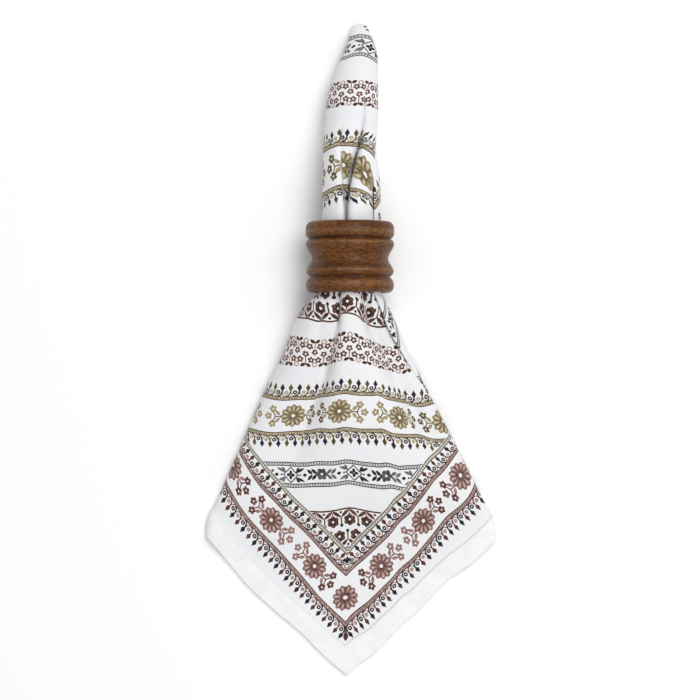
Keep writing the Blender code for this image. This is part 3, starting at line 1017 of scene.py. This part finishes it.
def drop_rows(lay):
    """The row outside each rope of a vine: a light drop, then a dark ring, a dark drop and a light
    ring. It makes room for the drop and the hoop at the border's corner."""
    turn = (lay.along + DROP_SHIFT).wrapped(2 * DROP_GAP)
    x = turn.repeated(DROP_GAP)
    drops = Spot.of(x, lay.past_rope)
    dark_side = turn.within(DROP_GAP, SHARP)
    light_side = 1.0 - dark_side
    past_ring = x.over(DROP_RING[0])
    up = abs(lay.past_rope - DROP_MIDDLE)
    lozenge = (x * 0.86 + up * 0.46).within(1.0)
    dark_lozenge = ((DROP_GAP - x) * 0.82 + up * 0.44).within(1.0)
    dark_ring = drops.hoop(DROP_RING, 0.78, 0.34) * dark_side
    light_ring = drops.disc(DROP_RING, 0.95) * 0.3
    light_ring = light_ring.most(drops.hoop(DROP_RING, 0.8, 0.22) * 0.5) * light_side
    loop = abs(drops.away_from(DROP_RING) - 1.95)
    upper = lay.past_rope.within(2.4)
    dark_tail = loop.within(0.42) * upper * past_ring * dark_side
    light_tail = loop.within(0.36) * upper * (1.0 - past_ring) * light_side
    ink = most_of([
        lozenge, loop.within(0.2) * upper * 0.8, light_tail, light_ring,
        drops.stroke((0.0, 2.0), (0.0, 3.2), 0.3), dark_ring * 0.9,
    ])
    black = most_of([
        dark_lozenge, dark_ring * 0.85, dark_tail * 0.8,
        drops.stroke((DROP_GAP, 2.0), (DROP_GAP, 3.2), 0.36) * 0.9,
    ])
    at_corner = lay.middle.disc((0.0, 297.6), 1.3).most(lay.middle.disc((0.0, 300.8), 1.9))
    inside = lay.past_rope.past(0.0) * lay.past_rope.within(DROPS_END)
    inside = inside * lay.along_edge.within(DROP_ROW_ENDS) * (1.0 - at_corner)
    return Stamp(ink * inside, black * inside)


def grey_bands(lay):
    """Diamonds and six-petalled flowers with leaves between."""
    along = (lay.sideways - GREY_SHIFT) * 1.04
    x = along.repeated(GREY_GAP)
    dark_side = along.wrapped(2 * GREY_GAP).within(GREY_GAP, SHARP)
    band = Spot.of(x, lay.from_grey)
    diamond = abs(x + lay.from_grey - 4.2).within(0.38)
    cross = band.flower((0.0, 0.0), 4, 2.35, 0.62, 0.3).shape
    small_dot = band.disc((5.3, 0.0), 0.5)
    spade = band.leaf((6.8, 0.0), (9.2, 0.0), 0.9)
    leaves = most_of([
        band.leaf((2.6, 1.3), (7.8, 3.7), 0.75), band.leaf((3.2, 2.2), (5.0, 4.2), 0.55),
        band.leaf((9.4, 3.0), (12.2, 0.1), 0.8), band.leaf((11.8, 3.0), (14.5, 0.1), 0.8),
    ])
    bloom = band.flower((GREY_GAP, 0.0), 6, 3.3, 0.26, 0.7).shape
    ink = diamond.most(leaves * 0.7).most(bloom * 0.82)
    black = cross.most(small_dot).most(spade * 0.8).most(leaves * dark_side * 0.85)
    inside = lay.from_grey.within(4.9) * lay.field
    return Stamp(ink * inside, black * inside)


def sprig_bands(lay):
    """Two rows of three-flowered plants, one growing from each side."""
    from_sprig = lay.out - lay.by_set(SPRIG_CENTRE)
    x = (lay.sideways + from_sprig.over(0.0) * SPRIG_GAP).repeated(SPRIG_GAP)
    plant = Spot.of(x, SPRIG_FOOT - abs(from_sprig))
    row = Spot.of(lay.sideways.repeated(SPRIG_GAP), from_sprig)
    blooms = most_of([
        plant.flower((2.75, 3.6), 5, 1.75, 0.36, 0.55, upright=True).shape,
        row.flower((0.0, -0.7), 5, 1.7, 0.36, 0.55, upright=True).shape,
        row.flower((SPRIG_GAP, 0.7), 5, 1.7, 0.36, 0.55, upright=True).shape,
    ])
    ink = most_of([
        blooms * 0.85,
        plant.leaf((0.1, 1.5), (2.6, -0.1), 0.85),
        plant.stroke((0.0, 0.9), (0.0, 4.9), 0.2) * 0.7,
        plant.hoop((SPRIG_GAP, 1.0), 1.05, 0.26) * 0.4,
    ])
    return Stamp(ink * abs(from_sprig).within(8.2) * lay.field)


def arcades(lay):
    """Two rows of flowers, back to back, under arches of leaves."""
    beyond = (ARCADE_LINE[0] - lay.out).where(
        lay.out.over(BETWEEN_ARCADES), lay.out - ARCADE_LINE[1]
    )
    second_row = beyond.over(ARCADE_DEEP / 2)
    x = (lay.sideways - (2.0 - second_row * 5.9)).repeated(ARCH_GAP)
    up = beyond.where(second_row, ARCADE_DEEP - beyond)
    arch = Spot.of(x, up)
    bloom = arch.flower((0.0, 6.2), 6, 3.15, 0.22, 0.7, upright=True)
    ink = most_of([
        abs(up).within(0.38),
        arch.leaf((0.0, 0.4), (4.3, 4.3), 0.85) * 0.9,
        bloom.shape * (1.05 - bloom.petal * 0.2),
        arch.stroke((ARCH_GAP, 4.2), (ARCH_GAP, 8.4), 0.3) * 0.95,
        arch.stroke((0.0, 1.5), (0.0, 3.6), 0.22) * 0.8,
    ])
    black = most_of([
        arch.disc((ARCH_GAP, 1.6), 0.62), arch.disc((ARCH_GAP, 8.6), 0.85) * 0.8,
        bloom.shape * bloom.away.within(1.5, 0.9) * 0.6,
    ])
    inside = beyond.past(-0.7) * beyond.within(ARCADE_DEEP + 0.5) * lay.field
    return Stamp(ink * inside, black * inside)


def lone_motifs(lay):
    """A pair of leaves at the napkin's centre, and a drop, a hoop and a fan at each corner."""
    middle = lay.middle
    ink = most_of([
        middle.leaf((1.2, 4.2), (6.4, 2.2), 1.0), middle.leaf((2.2, 6.2), (7.6, 4.8), 0.9) * 0.8,
        middle.leaf((0.0, 336.4), (0.0, 341.4), 1.25),
        middle.stroke((0.0, 334.4), (0.0, 337.4), 0.3),
        middle.hoop((0.0, 300.9), 1.15, 0.34) * 0.6,
    ])
    fan = [
        middle.leaf((0.0, 299.4), tip, half_wide)
        for tip, half_wide in (((0.0, 295.2), 0.8), ((-1.7, 296.0), 0.6), ((1.7, 296.0), 0.6))
    ]
    return Stamp(ink, most_of(fan))


PRINTED = (rosette_rows, drop_rows, ropes, grey_bands, sprig_bands, arcades, lone_motifs)


def printed_cotton():
    material, tree, shader = new_material("printed_cotton")
    lay = FlatPlace(tree)

    def patches(scale, detail, rough):
        return cloudy(tree, lay.spot.socket, scale, detail, rough, "2D")

    # Hand-printed unevenness: more ink in some places than others.
    stamps = [stamp(lay) for stamp in PRINTED]
    unevenness = patches(0.55, 2.0, 0.5) * 0.9 + patches(2.4, 2.0, 0.6) * 0.5 + 0.32
    ink = (most_of([stamp.ink for stamp in stamps]) * unevenness).clamped()
    black = most_of([stamp.black for stamp in stamps if stamp.black])
    black = (black * (unevenness * 0.7 + 0.35)).clamped()

    # Which ink prints where.
    in_field = lay.edge_in.past(BORDER_INK_TO, SHARP)
    gold = (in_field * lay.from_gold.within(GOLD_INK_HALF, SHARP)).most(
        in_field * lay.edge_in.within(FIELD_FROM, SHARP)
    )
    grey = lay.from_grey.within(GREY_INK_HALF, SHARP) * lay.field
    pale = mixed(gold, mixed(in_field, BORDER_PALE, RUST_PALE), GOLD_PALE)
    deep = mixed(gold, mixed(in_field, BORDER_DEEP, RUST_DEEP), GOLD_DEEP)
    pale, deep = mixed(grey, pale, GREY_PALE), mixed(grey, deep, GREY_DEEP)

    ground = mixed(patches(0.02, 1.0, 0.5), COTTON, COTTON_SHADE)
    base = mixed(ink.past(*INK_SHOWS), ground, mixed(ink.past(*INK_DEEPENS), pale, deep))
    base = mixed(black.past(*BLACK_SHOWS), base, INK_BLACK)

    # The weave, and the hem's line of stitches.
    thread_u = (lay.right * (2 * math.pi / WEAVE_PITCH)).work("SINE")
    thread_v = (lay.up * (2 * math.pi / WEAVE_PITCH)).work("SINE")
    slub = patches(1.1, 3.0, 0.7)
    weave = thread_u * thread_v + slub * 1.5
    stitch_wave = (lay.along_edge * (2 * math.pi / STITCH_PITCH)).work("SINE")
    from_seam = abs(lay.hem_in - STITCH_IN)
    stitch = from_seam.within(STITCH_HALF, 0.3) * stitch_wave.past(-0.3, 0.8)
    seam = from_seam.within(STITCH_HALF + 0.1, 0.9)
    base = mixed(stitch * 0.35, base, THREAD)
    hem_pale = patches(0.11, 3.0, 0.6) * 2.4 - 0.45
    base = mixed(lay.hem_in.within(HEM_PALE_TO, 0.5) * hem_pale, base, HEM_COTTON)
    tree.links.new(base, shader.inputs["Base Color"])
    feed(shader.inputs["Roughness"], 0.82 + slub * 0.16)
    shader.inputs["Sheen Weight"].default_value = 0.12
    shader.inputs["Sheen Roughness"].default_value = 0.5
    shader.inputs["Specular IOR Level"].default_value = 0.25
    raise_surface(shader, weave * 0.05 + stitch * 0.35 - seam * 0.3, 0.45, 0.0006)
    return material


# The ring's turned outline from its tip end to its foot: along its axis from its middle, and
# radius.
TurnedPoint = namedtuple("TurnedPoint", "along radius")
FIRST_BEAD = TurnedPoint(12.3, RING_RADIUS)
FIRST_GROOVE = TurnedPoint(9.5, 21.0)
UPPER_BEAD = TurnedPoint(6.8, 22.75)
COVE = TurnedPoint(-0.7, 19.7)
LOWER_BEAD = TurnedPoint(-7.4, 22.55)
SECOND_GROOVE = TurnedPoint(-10.2, 20.65)
LAST_BEAD = TurnedPoint(-14.5, 22.7)
COVE_FOOT = -4.6

# Its rims: how long the outer shoulder is, how far it falls as a share of that, and how round the
# bore's lip is.
SHOULDER = 3.7
SHOULDER_FALL = 0.8
RIM_ROUND = 2.6
RIM_STEPS = 10
BORE_RADIUS = 16.5
RING_SIDES = 144


def eased_line(start, end, steps):
    """An S-curve from one turned point to the next, level at both, without the first."""
    shares = [k / steps for k in range(1, steps + 1)]
    return [
        (start.along + (end.along - start.along) * t,
         start.radius + (end.radius - start.radius) * (1 - math.cos(math.pi * t)) / 2)
        for t in shares
    ]


def arched_line(start, end, bulge, steps):
    """A round shoulder from one turned point to the next, without the first."""
    shares = [k / steps for k in range(1, steps + 1)]
    return [
        (start.along + (end.along - start.along) * t,
         start.radius + (end.radius - start.radius) * t + bulge * math.sin(math.pi * t))
        for t in shares
    ]


def rim_line(sign, outer):
    """The rim at one end, from the outer shoulder over the end face into the bore."""
    half = RING_LENGTH / 2
    turns = [math.pi / 2 * k / RIM_STEPS for k in range(RIM_STEPS + 1)]
    fall = SHOULDER * SHOULDER_FALL
    shoulder = [
        (sign * (half - SHOULDER * (1 - math.sin(a))), outer - fall * (1 - math.cos(a)))
        for a in turns
    ]
    lip = [
        (sign * (half - RIM_ROUND * (1 - math.cos(a))),
         BORE_RADIUS + RIM_ROUND * (1 - math.sin(a)))
        for a in turns
    ]
    return shoulder + lip


def ring_outline():
    """The whole closed outline, from the bore at the tip end over the outside to the foot."""
    return (
        rim_line(1, FIRST_BEAD.radius)[::-1]
        + [FIRST_BEAD]
        + arched_line(FIRST_BEAD, FIRST_GROOVE, 0.6, 8)
        + arched_line(FIRST_GROOVE, UPPER_BEAD, 0.5, 7)
        + eased_line(UPPER_BEAD, COVE, 12)
        + eased_line(COVE, LOWER_BEAD, 12)
        + arched_line(LOWER_BEAD, SECOND_GROOVE, 0.5, 7)
        + arched_line(SECOND_GROOVE, LAST_BEAD, 0.6, 8)
        + rim_line(-1, LAST_BEAD.radius)
    )


def let_go():
    for obj in bpy.context.selected_objects:
        obj.select_set(False)


def turn_ring():
    """Draw the ring's outline round its axis: one hoop of edges, pulled out ring by ring."""
    outline = ring_outline()
    outline.append(outline[0])
    let_go()
    along, radius = outline[0]
    bpy.ops.mesh.primitive_circle_add(
        vertices=RING_SIDES, radius=radius * MM,
        location=(0.0, (RING_CENTRE_Y + along) * MM, RING_RADIUS * MM),
        rotation=(math.pi / 2, 0.0, 0.0),
    )
    ring = bpy.context.object
    bpy.ops.object.transform_apply(location=True, rotation=True, scale=True)
    bpy.ops.object.mode_set(mode="EDIT")
    bpy.ops.mesh.select_all(action="SELECT")
    for (before, old), (after, new) in zip(outline, outline[1:]):
        bpy.ops.mesh.extrude_edges_move(
            TRANSFORM_OT_translate={"value": (0.0, (after - before) * MM, 0.0)}
        )
        centre = (0.0, (RING_CENTRE_Y + after) * MM, RING_RADIUS * MM)
        share = new / old
        bpy.ops.transform.resize(value=(share, 1.0, share), center_override=centre)
    bpy.ops.mesh.select_all(action="SELECT")
    bpy.ops.mesh.remove_doubles(threshold=0.000002)
    bpy.ops.mesh.normals_make_consistent(inside=False)
    bpy.ops.object.mode_set(mode="OBJECT")
    bpy.ops.object.shade_smooth()
    ring.name = ring.data.name = "turned_ring"
    return ring


WOOD_DARK = linear(40, 16, 0)
WOOD_MID = linear(96, 54, 14)
WOOD_LIGHT = linear(142, 92, 44)
# A painted highlight colour for the beads' crests.
WOOD_HIGHLIGHT = linear(176, 132, 92)

# Lines round the ring: painted shade in the two grooves, a darker line at the cove's foot, and
# painted highlights near the beads' crests: place along the axis, half width, softness and
# strength.
Line = namedtuple("Line", "along half soft strength")
# Painted shade darkens the two grooves; a darker line lies at the cove's foot.
DARKENED_LINES = (
    Line(FIRST_GROOVE.along, 0.5, 1.8, 1.0), Line(SECOND_GROOVE.along, 0.4, 1.8, 1.0),
    Line(COVE_FOOT, 0.2, 2.4, 0.75),
)
HIGHLIGHT_LINES = (
    Line(UPPER_BEAD.along + 0.6, 0.3, 1.8, 1.0), Line(LOWER_BEAD.along + 0.6, 0.3, 1.8, 1.0),
    Line(FIRST_BEAD.along + 0.8, 0.6, 2.4, 0.8), Line(LAST_BEAD.along + 0.6, 0.6, 2.4, 0.8),
)


def on_lines(along, lines):
    return most_of([
        abs(along - line.along).within(line.half, line.soft) * line.strength for line in lines
    ])


def turned_wood():
    material, tree, shader = new_material("turned_wood")
    place = tree.nodes.new("ShaderNodeTexCoord").outputs["Object"]

    def grain(stretch, detail, rough, shift=0.0):
        mapping = tree.nodes.new("ShaderNodeMapping")
        mapping.inputs["Scale"].default_value = stretch
        mapping.inputs["Location"].default_value = (shift, shift, shift)
        tree.links.new(place, mapping.inputs["Vector"])
        return cloudy(tree, mapping.outputs[0], 1.0, detail, rough)

    mottle = grain((420.0, 1100.0, 420.0), 5.0, 0.75)
    patches = grain((60.0, 110.0, 60.0), 2.0, 0.5, 3.0)
    pores = grain((900.0, 2600.0, 900.0), 2.0, 0.6, 7.0)
    fleck = pores.within(0.4, 0.1)
    ramp = tree.nodes.new("ShaderNodeValToRGB")
    first, last = ramp.color_ramp.elements
    first.position, first.color = 0.18, (*WOOD_DARK, 1.0)
    last.position, last.color = 0.82, (*WOOD_LIGHT, 1.0)
    ramp.color_ramp.elements.new(0.48).color = (*WOOD_MID, 1.0)
    feed(ramp.inputs["Fac"], mottle * 1.5 + patches * 0.45 - 0.5)

    along = Spot(tree, place).parts()[1] * (1 / MM) - RING_CENTRE_Y
    # Painted shade in the grooves, a darker line at the cove's foot, and the grain's dark flecks.
    dark = (on_lines(along, DARKENED_LINES) * 0.9).most(fleck * 0.5)
    # Painted highlights lighten the beads near their crests.
    painted_highlight = on_lines(along, HIGHLIGHT_LINES) * (mottle * 1.2 - 0.28)
    base = mixed(painted_highlight, mixed(dark, ramp.outputs["Color"], WOOD_DARK), WOOD_HIGHLIGHT)
    tree.links.new(base, shader.inputs["Base Color"])
    shader.inputs["Specular IOR Level"].default_value = 0.26
    feed(shader.inputs["Roughness"], 0.28 + mottle * 0.22 + fleck * 0.15)
    raise_surface(shader, mottle * 0.6 + pores * 0.4 - fleck * 0.5, 0.35, 0.0004)
    return material


def pale_floor():
    let_go()
    bpy.ops.mesh.primitive_plane_add(size=8.0)
    floor = bpy.context.object
    floor.name = "floor"
    material, _, shader = new_material("pale_floor")
    shader.inputs["Base Color"].default_value = (0.97, 0.97, 0.97, 1.0)
    shader.inputs["Roughness"].default_value = 0.9
    shader.inputs["Specular IOR Level"].default_value = 0.1
    floor.data.materials.append(material)
    return floor


def soft_light(name, place, size, power):
    """A soft panel at this place, facing the middle of the scene."""
    light = bpy.data.lights.new(name, "AREA")
    light.size = size
    light.energy = power
    panel = bpy.data.objects.new(name, light)
    panel.location = place
    panel.rotation_euler = Vector(place).to_track_quat("Z", "Y").to_euler()
    bpy.context.scene.collection.objects.link(panel)


# The camera looks straight down and sees this much of the table, in metres.
CAMERA_HIGH = 1.1
VIEW_WIDE = 0.3693


def set_up_view():
    soft_light("overhead", (0.45, 0.6, 1.5), 0.9, 14.5)
    soft_light("from_foot", (0.2, -0.8, 1.3), 0.9, 4.6)
    world = bpy.data.worlds.new("studio")
    bpy.context.scene.world = world
    world.use_nodes = True
    background = world.node_tree.nodes["Background"]
    background.inputs["Color"].default_value = (1.0, 1.0, 1.0, 1.0)
    background.inputs["Strength"].default_value = 0.49
    camera = bpy.data.objects.new("camera", bpy.data.cameras.new("camera"))
    camera.location = (0.0, 0.0, CAMERA_HIGH)
    camera.data.lens = camera.data.sensor_width * CAMERA_HIGH / VIEW_WIDE
    bpy.context.scene.collection.objects.link(camera)
    bpy.context.scene.camera = camera
    bpy.context.scene.view_settings.view_transform = "Standard"


ring = turn_ring()
ring.data.materials.append(turned_wood())
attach(ring, "root")
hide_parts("ring")

napkin = make_napkin(FoldedCloth())
napkin.data.materials.append(printed_cotton())
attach(napkin, "root")
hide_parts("napkin")

pale_floor()
set_up_view()
